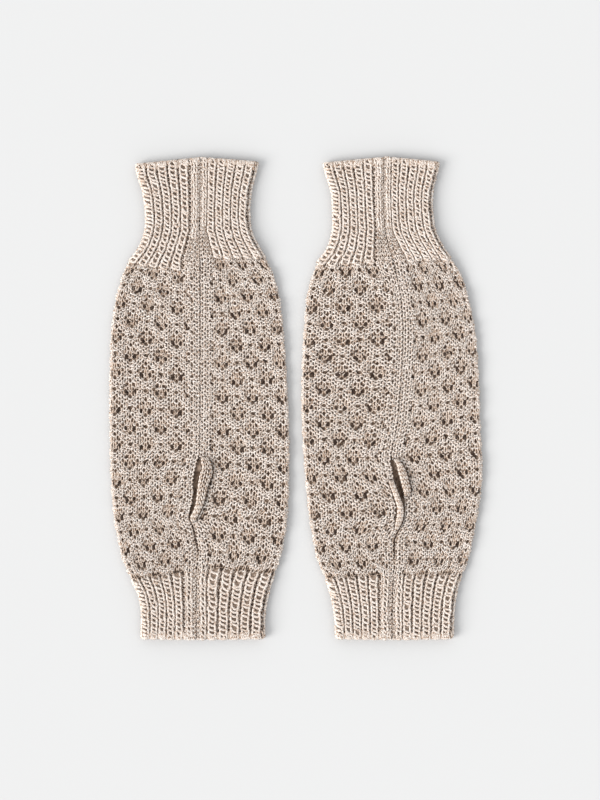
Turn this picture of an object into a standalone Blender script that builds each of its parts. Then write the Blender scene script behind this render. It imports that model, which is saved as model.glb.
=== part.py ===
"""A pair of knitted wrist warmers, laid side by side on a table.

Each warmer is one knitted panel, sewn up the front and pressed flat, so its section is a flat loop with
its two edges meeting at the seam. It is made here in three lengths of that loop: a ribbed cuff at the
arm, the lace body and a ribbed cuff at the hand. The seam is left open for the thumb, and the knitting
beside that slit rolls outwards.

Run it with blender --background --python part.py, or from Blender's text editor. Sizes are in
millimetres until a point is stored. X is to the right, Y points to the long cuff and Z is up.
"""

import math
from collections import namedtuple

import bmesh
import bpy
import numpy as np

MM = 0.001

# The knitting: stitches are counted round from the seam, to the right, and courses from the arm's edge.
FRONT_STITCHES = 17
FOLD_STITCHES = 2
BAND_STITCHES = 2
COURSES = {"arm_cuff": (0, 25), "lace_body": (25, 98), "hand_cuff": (98, 113)}
JOIN_GAP_COURSES = 0.14

# The cloth, pressed flat: the height of both layers together, and one layer's thickness.
Cloth = namedtuple("Cloth", "height wall")
RIB_CLOTH = Cloth(height=6.0, wall=2.7)
LACE_CLOTH = Cloth(height=4.8, wall=2.1)

# The ribs are two knit stitches and one purl stitch, which sinks between them.
RIB_STITCHES = 3
FIRST_GROOVE = 2.5
GROOVE_DEPTH = 1.1
CREST_DIP = 0.3

# The lace puffs up and sinks in turn, and each column lies half a repeat from the next.
REPEAT_STITCHES = 6
REPEAT_COURSES = 8
LACE_DEPTH = 0.8

FOLD_STEPS = 4
BACK_STEPS = 4
ROLL_ARCH_STEPS = 7
ROLL_LIFT = 0.3

# The outline at each height: how far its middle lies from the warmer's own axis, and its half width.
Outline = namedtuple("Outline", "y centre half_width")
# The seam at each height: its distance from the axis and the gap between the two edges.
Seam = namedtuple("Seam", "y x gap")
# Where a course lies: its height at the left fold, on both sides of the seam and at the right fold.
Course = namedtuple("Course", "number left_fold seam_left seam_right right_fold")
# The plain band on each side of the seam, which spreads from the arm cuff into the body.
Band = namedtuple("Band", "y half_width")
# A rolled edge at the thumb slit: its two sides and its thickness.
Roll = namedtuple("Roll", "y left right thick")

BAND = (
    Band(-129.5, 4.5),
    Band(-97, 4.5),
    Band(-85, 5.5),
    Band(64, 5.5),
    Band(75, 6.5),
    Band(90, 3.0),
    Band(129.5, 3.0),
)

LEFT_OUTLINE = (
    Outline(-129.5, 2.0, 33.8),
    Outline(-114, 2.3, 34.0),
    Outline(-106, 2.4, 35.5),
    Outline(-98, 1.5, 38.7),
    Outline(-90, 1.2, 42.2),
    Outline(-74, 1.0, 46.2),
    Outline(-42, 0.4, 48.9),
    Outline(-17, 0.1, 49.2),
    Outline(15, -0.6, 48.4),
    Outline(39, -0.9, 47.0),
    Outline(56, -0.7, 44.5),
    Outline(64, -0.6, 42.3),
    Outline(72, -0.6, 39.0),
    Outline(80, 0.0, 33.6),
    Outline(88, -0.4, 29.8),
    Outline(100, -0.8, 28.6),
    Outline(112, -1.2, 30.0),
    Outline(121, -1.5, 32.5),
    Outline(129.5, -0.9, 33.9),
)
LEFT_SEAM = (
    Seam(-129.5, -1.5, 0.3),
    Seam(-92, -1.2, 0.3),
    Seam(-82, -0.6, 0.3),
    Seam(-75, -2.2, 0.3),
    Seam(-69, -3.6, 0.3),
    Seam(-66.5, -5.0, 0.4),
    Seam(-64, -5.4, 1.0),
    Seam(-61, -4.3, 1.9),
    Seam(-56, -2.9, 1.9),
    Seam(-51.5, -2.3, 1.8),
    Seam(-47, -2.0, 2.5),
    Seam(-42, -1.5, 2.6),
    Seam(-37, -0.5, 2.8),
    Seam(-34, -0.2, 1.5),
    Seam(-31, 0.0, 0.3),
    Seam(0, 0.4, 0.3),
    Seam(60, 0.4, 0.3),
    Seam(80, 0.2, 0.3),
    Seam(105, 0.4, 0.3),
    Seam(129.5, 0.7, 0.3),
)
LEFT_COURSES = (
    Course(0, 125.8, 129.1, 129.3, 126.9),
    Course(25, 73.4, 67.5, 76.1, 75.6),
    Course(32, 57.8, 52.7, 59.9, 61.6),
    Course(48, 21.1, 17.3, 24.3, 25.9),
    Course(64, -18.4, -19.4, -11.3, -11.9),
    Course(80, -57.2, -54.5, -47.0, -49.7),
    Course(98, -97.2, -92.9, -90.7, -94.0),
    Course(113, -129.1, -129.6, -129.6, -129.1),
)
LEFT_ROLL = (
    Roll(-31.4, 1.2, 4.2, 1.0),
    Roll(-34, 0.8, 6.4, 1.8),
    Roll(-37.5, 1.4, 7.4, 2.1),
    Roll(-41, 0.2, 7.6, 2.1),
    Roll(-45.5, -0.6, 5.8, 2.1),
    Roll(-52, -1.4, 4.1, 2.0),
    Roll(-56, -1.9, 3.1, 2.0),
    Roll(-61, -3.4, 1.0, 1.9),
    Roll(-64.5, -4.9, -0.9, 1.6),
    Roll(-66.8, -4.2, -1.9, 0.9),
)

RIGHT_OUTLINE = (
    Outline(-129.5, 2.2, 32.1),
    Outline(-114, 2.0, 33.0),
    Outline(-106, 1.7, 34.4),
    Outline(-98, 1.4, 36.8),
    Outline(-90, 1.4, 40.6),
    Outline(-74, 1.4, 44.4),
    Outline(-42, 1.9, 48.6),
    Outline(-17, 0.6, 48.9),
    Outline(15, 0.0, 48.4),
    Outline(39, -0.5, 46.7),
    Outline(56, -1.6, 44.0),
    Outline(64, -1.6, 41.8),
    Outline(72, -2.4, 38.2),
    Outline(80, -2.4, 32.5),
    Outline(88, -3.2, 28.9),
    Outline(100, -4.1, 27.5),
    Outline(112, -4.5, 28.1),
    Outline(121, -4.8, 30.6),
    Outline(129.5, -4.9, 32.3),
)
RIGHT_SEAM = (
    Seam(-129.5, 0.8, 0.3),
    Seam(-97, 1.4, 0.3),
    Seam(-90, 2.1, 0.3),
    Seam(-79, 2.1, 0.3),
    Seam(-75.5, 2.4, 0.3),
    Seam(-72, 4.1, 0.3),
    Seam(-67.5, 6.2, 0.3),
    Seam(-63, 7.2, 0.3),
    Seam(-59, 7.3, 0.4),
    Seam(-54.5, 6.8, 1.5),
    Seam(-49, 5.2, 1.9),
    Seam(-44, 3.5, 2.8),
    Seam(-39.5, 2.4, 2.5),
    Seam(-35, 1.3, 2.4),
    Seam(-32.4, 0.4, 0.5),
    Seam(-28, 0.8, 0.3),
    Seam(-15, 3.5, 0.3),
    Seam(0, 4.9, 0.3),
    Seam(60, 4.6, 0.3),
    Seam(72, 1.9, 0.3),
    Seam(88, -2.4, 0.3),
    Seam(105, -3.7, 0.3),
    Seam(129.5, -3.5, 0.3),
)
RIGHT_COURSES = (
    Course(0, 126.4, 129.3, 129.6, 126.9),
    Course(25, 72.4, 72.9, 74.0, 75.1),
    Course(36, 45.9, 47.0, 47.5, 50.2),
    Course(52, 10.8, 10.3, 9.2, 14.6),
    Course(68, -25.4, -26.5, -26.5, -22.1),
    Course(84, -65.3, -63.2, -62.6, -61.6),
    Course(98, -96.7, -95.0, -95.0, -94.5),
    Course(113, -129.1, -129.6, -129.6, -129.1),
)
RIGHT_LOWER_ROLL = (
    Roll(-44, -1.4, 1.7, 1.0),
    Roll(-49.5, 0.3, 4.0, 1.6),
    Roll(-54, 1.9, 5.7, 1.9),
    Roll(-58.5, 3.2, 7.2, 2.0),
    Roll(-63, 3.2, 7.3, 2.0),
    Roll(-67, 2.4, 6.4, 1.7),
    Roll(-71, 2.0, 4.2, 0.9),
)
RIGHT_UPPER_ROLL = (
    Roll(-32.6, 1.4, 4.2, 0.9),
    Roll(-35.5, 2.8, 6.6, 1.6),
    Roll(-39.5, 3.8, 8.7, 1.9),
    Roll(-44.5, 5.2, 10.2, 2.0),
    Roll(-49, 6.4, 11.2, 1.8),
    Roll(-53, 7.6, 10.9, 0.9),
)

Warmer = namedtuple("Warmer", "name axis_x stitches first_flower outline seam courses rolls")
WARMERS = (
    Warmer(
        name="left",
        axis_x=-52.2,
        stitches=75,
        first_flower=4.5,
        outline=LEFT_OUTLINE,
        seam=LEFT_SEAM,
        courses=LEFT_COURSES,
        rolls={"left_thumb_roll": LEFT_ROLL},
    ),
    Warmer(
        name="right",
        axis_x=50.8,
        stitches=72,
        first_flower=1.5,
        outline=RIGHT_OUTLINE,
        seam=RIGHT_SEAM,
        courses=RIGHT_COURSES,
        rolls={
            "right_thumb_roll_lower": RIGHT_LOWER_ROLL,
            "right_thumb_roll_upper": RIGHT_UPPER_ROLL,
        },
    ),
)

# The course of the body's first puff above a flower, and the courses between the body's mesh rows.
FIRST_PUFF_COURSE = 30
BODY_STEP = 2
SLIT_COURSES = (66, 92)
CUFF_STEP = 4

# Linear RGB of the two knits and the rolled edge.
COLOURS = {
    "arm_cuff": (0.51, 0.43, 0.37),
    "lace_body": (0.48, 0.40, 0.35),
    "hand_cuff": (0.49, 0.40, 0.35),
    "thumb_roll": (0.52, 0.44, 0.38),
}


def clear_scene():
    for obj in list(bpy.data.objects):
        bpy.data.objects.remove(obj)


def wool(name, colour):
    material = bpy.data.materials.new(name)
    material.use_nodes = True
    shader = material.node_tree.nodes["Principled BSDF"]
    shader.inputs["Base Color"].default_value = (*colour, 1)
    shader.inputs["Roughness"].default_value = 0.95
    shader.inputs["Metallic"].default_value = 0
    return material


def column(table, field):
    return np.array([getattr(row, field) for row in table], float)


def smooth(knots, values, at):
    """A smooth curve through the values at the knots, read at the places given."""
    slopes = np.gradient(values, knots)
    i = np.clip(np.searchsorted(knots, at) - 1, 0, len(knots) - 2)
    step = knots[i + 1] - knots[i]
    t = np.clip((at - knots[i]) / step, 0, 1)
    start = (1 + 2 * t) * (1 - t) ** 2 * values[i] + t * (1 - t) ** 2 * step * slopes[i]
    end = t**2 * (3 - 2 * t) * values[i + 1] + t**2 * (t - 1) * step * slopes[i + 1]
    return start + end


def curve(table, field, at):
    """A smooth curve through one column of a table, whose first column says where its rows lie."""
    return smooth(column(table, table[0]._fields[0]), column(table, field), at)


def height_of(warmer, share, course):
    """The height of these courses, sloping evenly along the front's right half, back and left half."""
    left_fold, seam_left, seam_right, right_fold = (
        curve(warmer.courses, field, course) for field in Course._fields[1:]
    )
    right = seam_right + share * (right_fold - seam_right)
    back = right_fold + (share - 1) * (left_fold - right_fold)
    left = left_fold + (share - 2) * (seam_left - left_fold)
    return np.select([share <= 1, share <= 2], [right, back], left)


def fold_turn(warmer, stitch):
    """How far the cloth has turned over: nothing on the front, half a turn on the back."""
    right = np.clip((stitch - FRONT_STITCHES) / FOLD_STITCHES, 0, 1)
    left = np.clip((warmer.stitches - FRONT_STITCHES - stitch) / FOLD_STITCHES, 0, 1)
    return np.pi * np.minimum(right, left)


def front_x(warmer, stitch, y, side, fold_x):
    """How far right the front's stitches lie: the plain band at the seam, then evenly to the fold."""
    half_gap = np.interp(y, column(warmer.seam, "y"), column(warmer.seam, "gap")) / 2
    band = np.interp(y, column(BAND, "y"), column(BAND, "half_width"))
    from_seam = np.minimum(stitch, warmer.stitches - stitch)
    across_band = np.minimum(from_seam, BAND_STITCHES) / BAND_STITCHES
    beyond = np.clip((from_seam - BAND_STITCHES) / (FRONT_STITCHES - BAND_STITCHES), 0, 1)
    edge_x = curve(warmer.seam, "x", y) + side * half_gap
    return edge_x + side * band * across_band + beyond * (fold_x - edge_x - side * band)


def place(warmer, cloth, stitch, course, depth):
    """The points at these stitches and courses, each its depth below the cloth's outer face."""
    right_fold = (FRONT_STITCHES, FRONT_STITCHES + FOLD_STITCHES)
    left_fold = [warmer.stitches - corner for corner in reversed(right_fold)]
    corners = (0, *right_fold, *left_fold, warmer.stitches)
    share = np.interp(stitch, corners, (0, 1, 1, 2, 2, 3))
    y = height_of(warmer, share, course)
    turn = fold_turn(warmer, stitch)

    radius = cloth.height / 2
    reach = radius - depth
    side = np.where(2 * stitch < warmer.stitches, 1, -1)
    centre = curve(warmer.outline, "centre", y)
    fold_reach = curve(warmer.outline, "half_width", y) - radius
    back_x = centre + (3 - 2 * share) * fold_reach + side * reach * np.sin(turn)
    x = np.where(turn > 0, back_x, front_x(warmer, stitch, y, side, centre + side * fold_reach))
    return np.stack([x, y, radius + reach * np.cos(turn)], axis=-1)


def groove(stitch, _course, _warmer):
    """How deep the ribs' outer face lies: a purl groove, and a slight dip between two knit columns."""
    phase = np.mod(stitch - FIRST_GROOVE, RIB_STITCHES) / RIB_STITCHES
    purl = np.clip(1 - 4 * np.minimum(phase, 1 - phase), 0, 1)
    dip = np.clip(1 - 4 * np.abs(phase - 0.5), 0, 1)
    return GROOVE_DEPTH * purl + CREST_DIP * dip


def scallop(stitch, course, warmer):
    """How deep the lace's outer face lies: puffs and hollows that alternate both ways."""
    across = np.cos(2 * np.pi * (stitch - warmer.first_flower) / REPEAT_STITCHES)
    along = np.cos(2 * np.pi * (course - FIRST_PUFF_COURSE) / REPEAT_COURSES)
    return LACE_DEPTH * (0.5 - 0.5 * across * along)


def front_columns(step, first):
    """Stitch positions across half of the front: the seam, the band's edge and the pattern's steps."""
    pattern = np.arange(first, FRONT_STITCHES - 0.3, step)
    return [0, BAND_STITCHES, *pattern[pattern > BAND_STITCHES + 0.3], FRONT_STITCHES]


def all_columns(warmer, right_half, left_half):
    """Stitch positions all the way round, from the seam to the seam."""
    back_start = FRONT_STITCHES + FOLD_STITCHES
    back_end = warmer.stitches - back_start
    right_fold = np.linspace(FRONT_STITCHES, back_start, FOLD_STEPS + 1)
    back = np.linspace(back_start, back_end, BACK_STEPS + 1)
    left_fold = np.linspace(back_end, back_end + FOLD_STITCHES, FOLD_STEPS + 1)
    left_front = [warmer.stitches - stitch for stitch in reversed(left_half)]
    return np.array([*right_half[:-1], *right_fold, *back[1:-1], *left_fold, *left_front[1:]])


def rib_columns(warmer):
    quarter = RIB_STITCHES / 4
    first_left = np.mod(warmer.stitches - FIRST_GROOVE, quarter)
    return all_columns(
        warmer, front_columns(quarter, FIRST_GROOVE), front_columns(quarter, first_left)
    )


def lace_columns(warmer):
    quarter = REPEAT_STITCHES / 4
    first_left = np.mod(warmer.stitches - warmer.first_flower, quarter)
    return all_columns(
        warmer, front_columns(quarter, warmer.first_flower % quarter), front_columns(quarter, first_left)
    )


def relief_fade(warmer, stitch):
    """The share of the relief that shows: none in the plain band at the seam or on the underside."""
    from_seam = np.minimum(stitch, warmer.stitches - stitch)
    off_band = np.clip(2 * (from_seam - BAND_STITCHES), 0, 1)
    return off_band * np.clip(2 - 2 * fold_turn(warmer, stitch) / np.pi, 0, 1)


def add_skin(mesh, corners, depth):
    """The faces of one skin. Each square is split from its highest corner to its lowest."""
    rising = np.abs(depth[:-1, :-1] - depth[1:, 1:]) >= np.abs(depth[:-1, 1:] - depth[1:, :-1])
    for j, i in np.ndindex(rising.shape):
        square = [corners[j][i], corners[j][i + 1], corners[j + 1][i + 1], corners[j + 1][i]]
        if not rising[j, i]:
            square = square[1:] + square[:1]
        mesh.faces.new(square[:3])
        mesh.faces.new((square[0], *square[2:]))


def loop_of_cloth(name, warmer, cloth, columns, courses, relief, material):
    """One length of the flattened loop: an outer and an inner face, closed along all four edges."""
    stitch, course = np.meshgrid(columns, courses)
    depth = relief_fade(warmer, stitch) * relief(stitch, course, warmer)
    mesh = bmesh.new()
    outer, inner = (
        [[mesh.verts.new(point * MM) for point in row] for row in place(warmer, cloth, stitch, course, d)]
        for d in (depth, np.full_like(depth, cloth.wall))
    )
    add_skin(mesh, outer, depth)
    add_skin(mesh, inner, depth)
    rims = [(outer[j], inner[j]) for j in (0, -1)]
    rims += [([row[i] for row in outer], [row[i] for row in inner]) for i in (0, -1)]
    for top, bottom in rims:
        for i in range(len(top) - 1):
            mesh.faces.new((top[i], top[i + 1], bottom[i + 1], bottom[i]))
    return finish(name, mesh, warmer, material)


def finish(name, mesh, warmer, material):
    """Turns the faces outwards, joins the flat ones and puts the piece on its warmer's axis."""
    bmesh.ops.recalc_face_normals(mesh, faces=mesh.faces)
    bmesh.ops.dissolve_limit(
        mesh, angle_limit=math.radians(0.05), verts=mesh.verts, edges=mesh.edges
    )
    bmesh.ops.triangulate(mesh, faces=mesh.faces)
    data = bpy.data.meshes.new(name)
    mesh.to_mesh(data)
    mesh.free()
    data.materials.append(material)
    data.shade_smooth()
    data.set_sharp_from_angle(angle=math.radians(35))
    obj = bpy.data.objects.new(name, data)
    bpy.context.collection.objects.link(obj)
    obj.parent = bpy.data.objects[warmer.name + "_warmer"]
    return obj


def thumb_roll(name, rows, warmer, material):
    """A rolled edge: an arched bar that follows the slit, just above the body's front."""
    floor = LACE_CLOTH.height + ROLL_LIFT
    knots = column(rows, "y")
    heights = np.linspace(knots[0], knots[-1], 2 * len(rows) - 1)
    left, right, thick = (
        smooth(-knots, column(rows, field), -heights) for field in ("left", "right", "thick")
    )
    arch = np.linspace(0, np.pi, ROLL_ARCH_STEPS + 1)
    mesh = bmesh.new()
    rings = []
    for y, x0, x1, rise in zip(heights, left, right, thick):
        half = (x1 - x0) / 2
        xs = (x0 + x1) / 2 + half * np.cos(arch)
        zs = floor + rise * np.maximum(0, np.sin(arch))
        rings.append([mesh.verts.new((x * MM, y * MM, z * MM)) for x, z in zip(xs, zs)])
    for first, second in zip(rings, rings[1:]):
        for i in range(len(first)):
            j = (i + 1) % len(first)
            mesh.faces.new((first[i], first[j], second[j], second[i]))
    mesh.faces.new(rings[0])
    mesh.faces.new(rings[-1])
    return finish(name, mesh, warmer, material)


def courses_of(part):
    """The courses of one length's mesh rows, drawn in a little from the next length."""
    first, last = COURSES[part]
    if part == "lace_body":
        slit = np.arange(*SLIT_COURSES)
        rows = sorted({first, *range(first + 1, last, BODY_STEP), *slit, last})
    else:
        count = round((last - first) / CUFF_STEP) + 1
        rows = np.linspace(first, last, count)
    rows = np.array(rows, float)
    rows[0] += JOIN_GAP_COURSES / 2 * (part != "arm_cuff")
    rows[-1] -= JOIN_GAP_COURSES / 2 * (part != "hand_cuff")
    return rows


def build_warmer(warmer, materials):
    holder = bpy.data.objects.new(warmer.name + "_warmer", None)
    holder.location = (warmer.axis_x * MM, 0, 0)
    bpy.context.collection.objects.link(holder)
    for part in COURSES:
        ribbed = part != "lace_body"
        loop_of_cloth(
            f"{warmer.name}_{part}",
            warmer,
            RIB_CLOTH if ribbed else LACE_CLOTH,
            rib_columns(warmer) if ribbed else lace_columns(warmer),
            courses_of(part),
            groove if ribbed else scallop,
            materials[part],
        )
    for name, rows in warmer.rolls.items():
        thumb_roll(name, rows, warmer, materials["thumb_roll"])


def main():
    clear_scene()
    materials = {name: wool(name + "_wool", colour) for name, colour in COLOURS.items()}
    for warmer in WARMERS:
        build_warmer(warmer, materials)


main()
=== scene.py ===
"""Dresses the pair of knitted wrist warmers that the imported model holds.

Each length of a warmer is a thin shell on its solid's form, and the knitting lies over it as real yarn:
one tube a course, looped stitch by stitch. The tables of outlines, seams, courses and rolls are those
of the part's source, so every loop sits where the solid is. Sizes are in millimetres until a point is
stored, and in stitches or courses where a name says so. X is to the right, Y points to the long cuff
and Z is up.
"""

import math
from collections import namedtuple

import bpy
import numpy as np
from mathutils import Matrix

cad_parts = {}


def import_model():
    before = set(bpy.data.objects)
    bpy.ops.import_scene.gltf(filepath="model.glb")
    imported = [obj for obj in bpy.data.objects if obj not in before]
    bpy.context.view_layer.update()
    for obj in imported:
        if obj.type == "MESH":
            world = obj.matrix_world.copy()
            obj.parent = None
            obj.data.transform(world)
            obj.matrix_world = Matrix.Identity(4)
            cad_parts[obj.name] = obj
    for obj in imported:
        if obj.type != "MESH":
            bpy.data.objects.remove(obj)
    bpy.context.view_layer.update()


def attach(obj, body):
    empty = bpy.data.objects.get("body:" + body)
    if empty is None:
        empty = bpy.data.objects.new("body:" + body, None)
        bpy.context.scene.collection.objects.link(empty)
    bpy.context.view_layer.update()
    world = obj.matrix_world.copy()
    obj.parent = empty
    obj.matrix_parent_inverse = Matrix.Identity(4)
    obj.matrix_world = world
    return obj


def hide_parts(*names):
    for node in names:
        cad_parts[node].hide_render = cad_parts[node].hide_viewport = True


MM = 0.001

# The knitting: stitches are counted round from the seam, to the right, and courses from the arm's edge.
FRONT_STITCHES = 17
FOLD_STITCHES = 2
BAND_STITCHES = 2
COURSES = {"arm_cuff": (0, 25), "lace_body": (25, 98), "hand_cuff": (98, 113)}

# The cloth, pressed flat: the height of both layers together.
RIB_HEIGHT = 6.0
LACE_HEIGHT = 4.8
# Where the ribs' cloth turns into the lace's: courses on each side of the join.
BLEND_COURSES = 2.5

# The ribs: stitches from one groove to the next and to the first one, how deep a groove sinks and how
# far it reaches to each side.
RIB_STITCHES = 3
FIRST_GROOVE = 2.5
GROOVE_DEPTH = 0.95
GROOVE_REACH = 0.6

# The lace puffs up and sinks in turn, and each column lies half a repeat from the next. A puff stands
# at the first course here, the painted light on the cloth's inner side is strongest at the second, and a
# flower of holes has its lowest dimple at the third.
REPEAT_STITCHES = 6
REPEAT_COURSES = 8
FIRST_PUFF_COURSE = 30
FIRST_LIT_COURSE = 29.5
FIRST_DIMPLE = 28
# How deep the lace sinks between its puffs, how sharply it sinks and how sharply its painted light grows.
LACE_DEPTH = 0.8
LACE_SHARPNESS = 1.5
LIT_SHARPNESS = 2.5
# The back's share of the relief, since it is pressed flat.
BACK_RELIEF = 0.35

# The outline at each height: how far its middle lies from the warmer's own axis, and its half width.
Outline = namedtuple("Outline", "y centre half_width")
# The seam at each height: its distance from the axis and the gap between the two edges.
Seam = namedtuple("Seam", "y x gap")
# Where a course lies: its height at the left fold, on both sides of the seam and at the right fold.
Course = namedtuple("Course", "number left_fold seam_left seam_right right_fold")
# The plain band on each side of the seam, which spreads from the arm cuff into the body.
Band = namedtuple("Band", "y half_width")
# A rolled edge at the thumb slit: its two sides and its thickness.
Roll = namedtuple("Roll", "y left right thick")

BAND = (
    Band(-129.5, 4.5),
    Band(-97, 4.5),
    Band(-85, 5.5),
    Band(64, 5.5),
    Band(75, 6.5),
    Band(90, 3.0),
    Band(129.5, 3.0),
)

LEFT_OUTLINE = (
    Outline(-129.5, 2.0, 33.8),
    Outline(-114, 2.3, 34.0),
    Outline(-106, 2.4, 35.5),
    Outline(-98, 1.5, 38.7),
    Outline(-90, 1.2, 42.2),
    Outline(-74, 1.0, 46.2),
    Outline(-42, 0.4, 48.9),
    Outline(-17, 0.1, 49.2),
    Outline(15, -0.6, 48.4),
    Outline(39, -0.9, 47.0),
    Outline(56, -0.7, 44.5),
    Outline(64, -0.6, 42.3),
    Outline(72, -0.6, 39.0),
    Outline(80, 0.0, 33.6),
    Outline(88, -0.4, 29.8),
    Outline(100, -0.8, 28.6),
    Outline(112, -1.2, 30.0),
    Outline(121, -1.5, 32.5),
    Outline(129.5, -0.9, 33.9),
)
LEFT_SEAM = (
    Seam(-129.5, -1.5, 0.3),
    Seam(-92, -1.2, 0.3),
    Seam(-82, -0.6, 0.3),
    Seam(-75, -2.2, 0.3),
    Seam(-69, -3.6, 0.3),
    Seam(-66.5, -5.0, 0.4),
    Seam(-64, -5.4, 1.0),
    Seam(-61, -4.3, 1.9),
    Seam(-56, -2.9, 1.9),
    Seam(-51.5, -2.3, 1.8),
    Seam(-47, -2.0, 2.5),
    Seam(-42, -1.5, 2.6),
    Seam(-37, -0.5, 2.8),
    Seam(-34, -0.2, 1.5),
    Seam(-31, 0.0, 0.3),
    Seam(0, 0.4, 0.3),
    Seam(60, 0.4, 0.3),
    Seam(80, 0.2, 0.3),
    Seam(105, 0.4, 0.3),
    Seam(129.5, 0.7, 0.3),
)
LEFT_COURSES = (
    Course(0, 125.8, 129.1, 129.3, 126.9),
    Course(25, 73.4, 67.5, 76.1, 75.6),
    Course(32, 57.8, 52.7, 59.9, 61.6),
    Course(48, 21.1, 17.3, 24.3, 25.9),
    Course(64, -18.4, -19.4, -11.3, -11.9),
    Course(80, -57.2, -54.5, -47.0, -49.7),
    Course(98, -97.2, -92.9, -90.7, -94.0),
    Course(113, -129.1, -129.6, -129.6, -129.1),
)
LEFT_ROLL = (
    Roll(-31.4, 1.2, 4.2, 1.0),
    Roll(-34, 0.8, 6.4, 1.8),
    Roll(-37.5, 1.4, 7.4, 2.1),
    Roll(-41, 0.2, 7.6, 2.1),
    Roll(-45.5, -0.6, 5.8, 2.1),
    Roll(-52, -1.4, 4.1, 2.0),
    Roll(-56, -1.9, 3.1, 2.0),
    Roll(-61, -3.4, 1.0, 1.9),
    Roll(-64.5, -4.9, -0.9, 1.6),
    Roll(-66.8, -4.2, -1.9, 0.9),
)

RIGHT_OUTLINE = (
    Outline(-129.5, 2.2, 32.1),
    Outline(-114, 2.0, 33.0),
    Outline(-106, 1.7, 34.4),
    Outline(-98, 1.4, 36.8),
    Outline(-90, 1.4, 40.6),
    Outline(-74, 1.4, 44.4),
    Outline(-42, 1.9, 48.6),
    Outline(-17, 0.6, 48.9),
    Outline(15, 0.0, 48.4),
    Outline(39, -0.5, 46.7),
    Outline(56, -1.6, 44.0),
    Outline(64, -1.6, 41.8),
    Outline(72, -2.4, 38.2),
    Outline(80, -2.4, 32.5),
    Outline(88, -3.2, 28.9),
    Outline(100, -4.1, 27.5),
    Outline(112, -4.5, 28.1),
    Outline(121, -4.8, 30.6),
    Outline(129.5, -4.9, 32.3),
)
RIGHT_SEAM = (
    Seam(-129.5, 0.8, 0.3),
    Seam(-97, 1.4, 0.3),
    Seam(-90, 2.1, 0.3),
    Seam(-79, 2.1, 0.3),
    Seam(-75.5, 2.4, 0.3),
    Seam(-72, 4.1, 0.3),
    Seam(-67.5, 6.2, 0.3),
    Seam(-63, 7.2, 0.3),
    Seam(-59, 7.3, 0.4),
    Seam(-54.5, 6.8, 1.5),
    Seam(-49, 5.2, 1.9),
    Seam(-44, 3.5, 2.8),
    Seam(-39.5, 2.4, 2.5),
    Seam(-35, 1.3, 2.4),
    Seam(-32.4, 0.4, 0.5),
    Seam(-28, 0.8, 0.3),
    Seam(-15, 3.5, 0.3),
    Seam(0, 4.9, 0.3),
    Seam(60, 4.6, 0.3),
    Seam(72, 1.9, 0.3),
    Seam(88, -2.4, 0.3),
    Seam(105, -3.7, 0.3),
    Seam(129.5, -3.5, 0.3),
)
RIGHT_COURSES = (
    Course(0, 126.4, 129.3, 129.6, 126.9),
    Course(25, 72.4, 72.9, 74.0, 75.1),
    Course(36, 45.9, 47.0, 47.5, 50.2),
    Course(52, 10.8, 10.3, 9.2, 14.6),
    Course(68, -25.4, -26.5, -26.5, -22.1),
    Course(84, -65.3, -63.2, -62.6, -61.6),
    Course(98, -96.7, -95.0, -95.0, -94.5),
    Course(113, -129.1, -129.6, -129.6, -129.1),
)
RIGHT_LOWER_ROLL = (
    Roll(-44, -1.4, 1.7, 1.0),
    Roll(-49.5, 0.3, 4.0, 1.6),
    Roll(-54, 1.9, 5.7, 1.9),
    Roll(-58.5, 3.2, 7.2, 2.0),
    Roll(-63, 3.2, 7.3, 2.0),
    Roll(-67, 2.4, 6.4, 1.7),
    Roll(-71, 2.0, 4.2, 0.9),
)
RIGHT_UPPER_ROLL = (
    Roll(-32.6, 1.4, 4.2, 0.9),
    Roll(-35.5, 2.8, 6.6, 1.6),
    Roll(-39.5, 3.8, 8.7, 1.9),
    Roll(-44.5, 5.2, 10.2, 2.0),
    Roll(-49, 6.4, 11.2, 1.8),
    Roll(-53, 7.6, 10.9, 0.9),
)

Warmer = namedtuple("Warmer", "name axis_x stitches first_flower outline seam courses rolls")
WARMERS = (
    Warmer(
        name="left",
        axis_x=-52.2,
        stitches=75,
        first_flower=4.5,
        outline=LEFT_OUTLINE,
        seam=LEFT_SEAM,
        courses=LEFT_COURSES,
        rolls={"left_thumb_roll": LEFT_ROLL},
    ),
    Warmer(
        name="right",
        axis_x=50.8,
        stitches=72,
        first_flower=1.5,
        outline=RIGHT_OUTLINE,
        seam=RIGHT_SEAM,
        courses=RIGHT_COURSES,
        rolls={
            "right_thumb_roll_lower": RIGHT_LOWER_ROLL,
            "right_thumb_roll_upper": RIGHT_UPPER_ROLL,
        },
    ),
)

# The yarn: its thickness, how far a loop reaches past its course, and how unevenly the loops lean, in
# stitches, stretch, in shares of that reach, and lift, in millimetres.
YARN = 1.06
REACH = 0.78
LEAN = 0.16
STRETCH = 0.2
LIFT = 0.2
# Each warmer's random draws start from this times its stitches.
SEED_STEP = 1000
# How a loop lies, in shares of its width: how far its legs swing back, how far they stand apart, how much
# its head slants, in courses, how deep it goes from the cloth's face, in millimetres, and how much
# thicker its head is.
Loop = namedtuple("Loop", "swing apart slant swell thick")
KNIT_LOOP = Loop(swing=0.10, apart=0.10, slant=0.12, swell=0.2, thick=1.05)
PURL_LOOP = Loop(swing=0.20, apart=0.0, slant=0.0, swell=0.40, thick=0.1)
SLANT_SHARPNESS = 2.5
# A groove's narrow loop: half its width, in stitches. A rib's own loop takes up the rest.
GROOVE_HALF = 0.2
# The yarn's thickness in shares: what is left of it in a loop of no width, the loop that has all of it,
# and its limits. It changes slowly, over this many points.
CROWDED = 0.4
WIDE_LOOP = 2.6
THINNEST = 0.72
THICKEST = 0.98
EVENED_POINTS = 5
# How near the seam's middle a stitch may come, in stitches.
SEAM_MARGIN = 0.05
# A step towards the cloth's outer face, which tells a tube's way outwards.
OUTWARD_STEP = 0.2
# The yarn's deepest, which keeps it on its shell.
DEEPEST = 1.75
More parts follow.
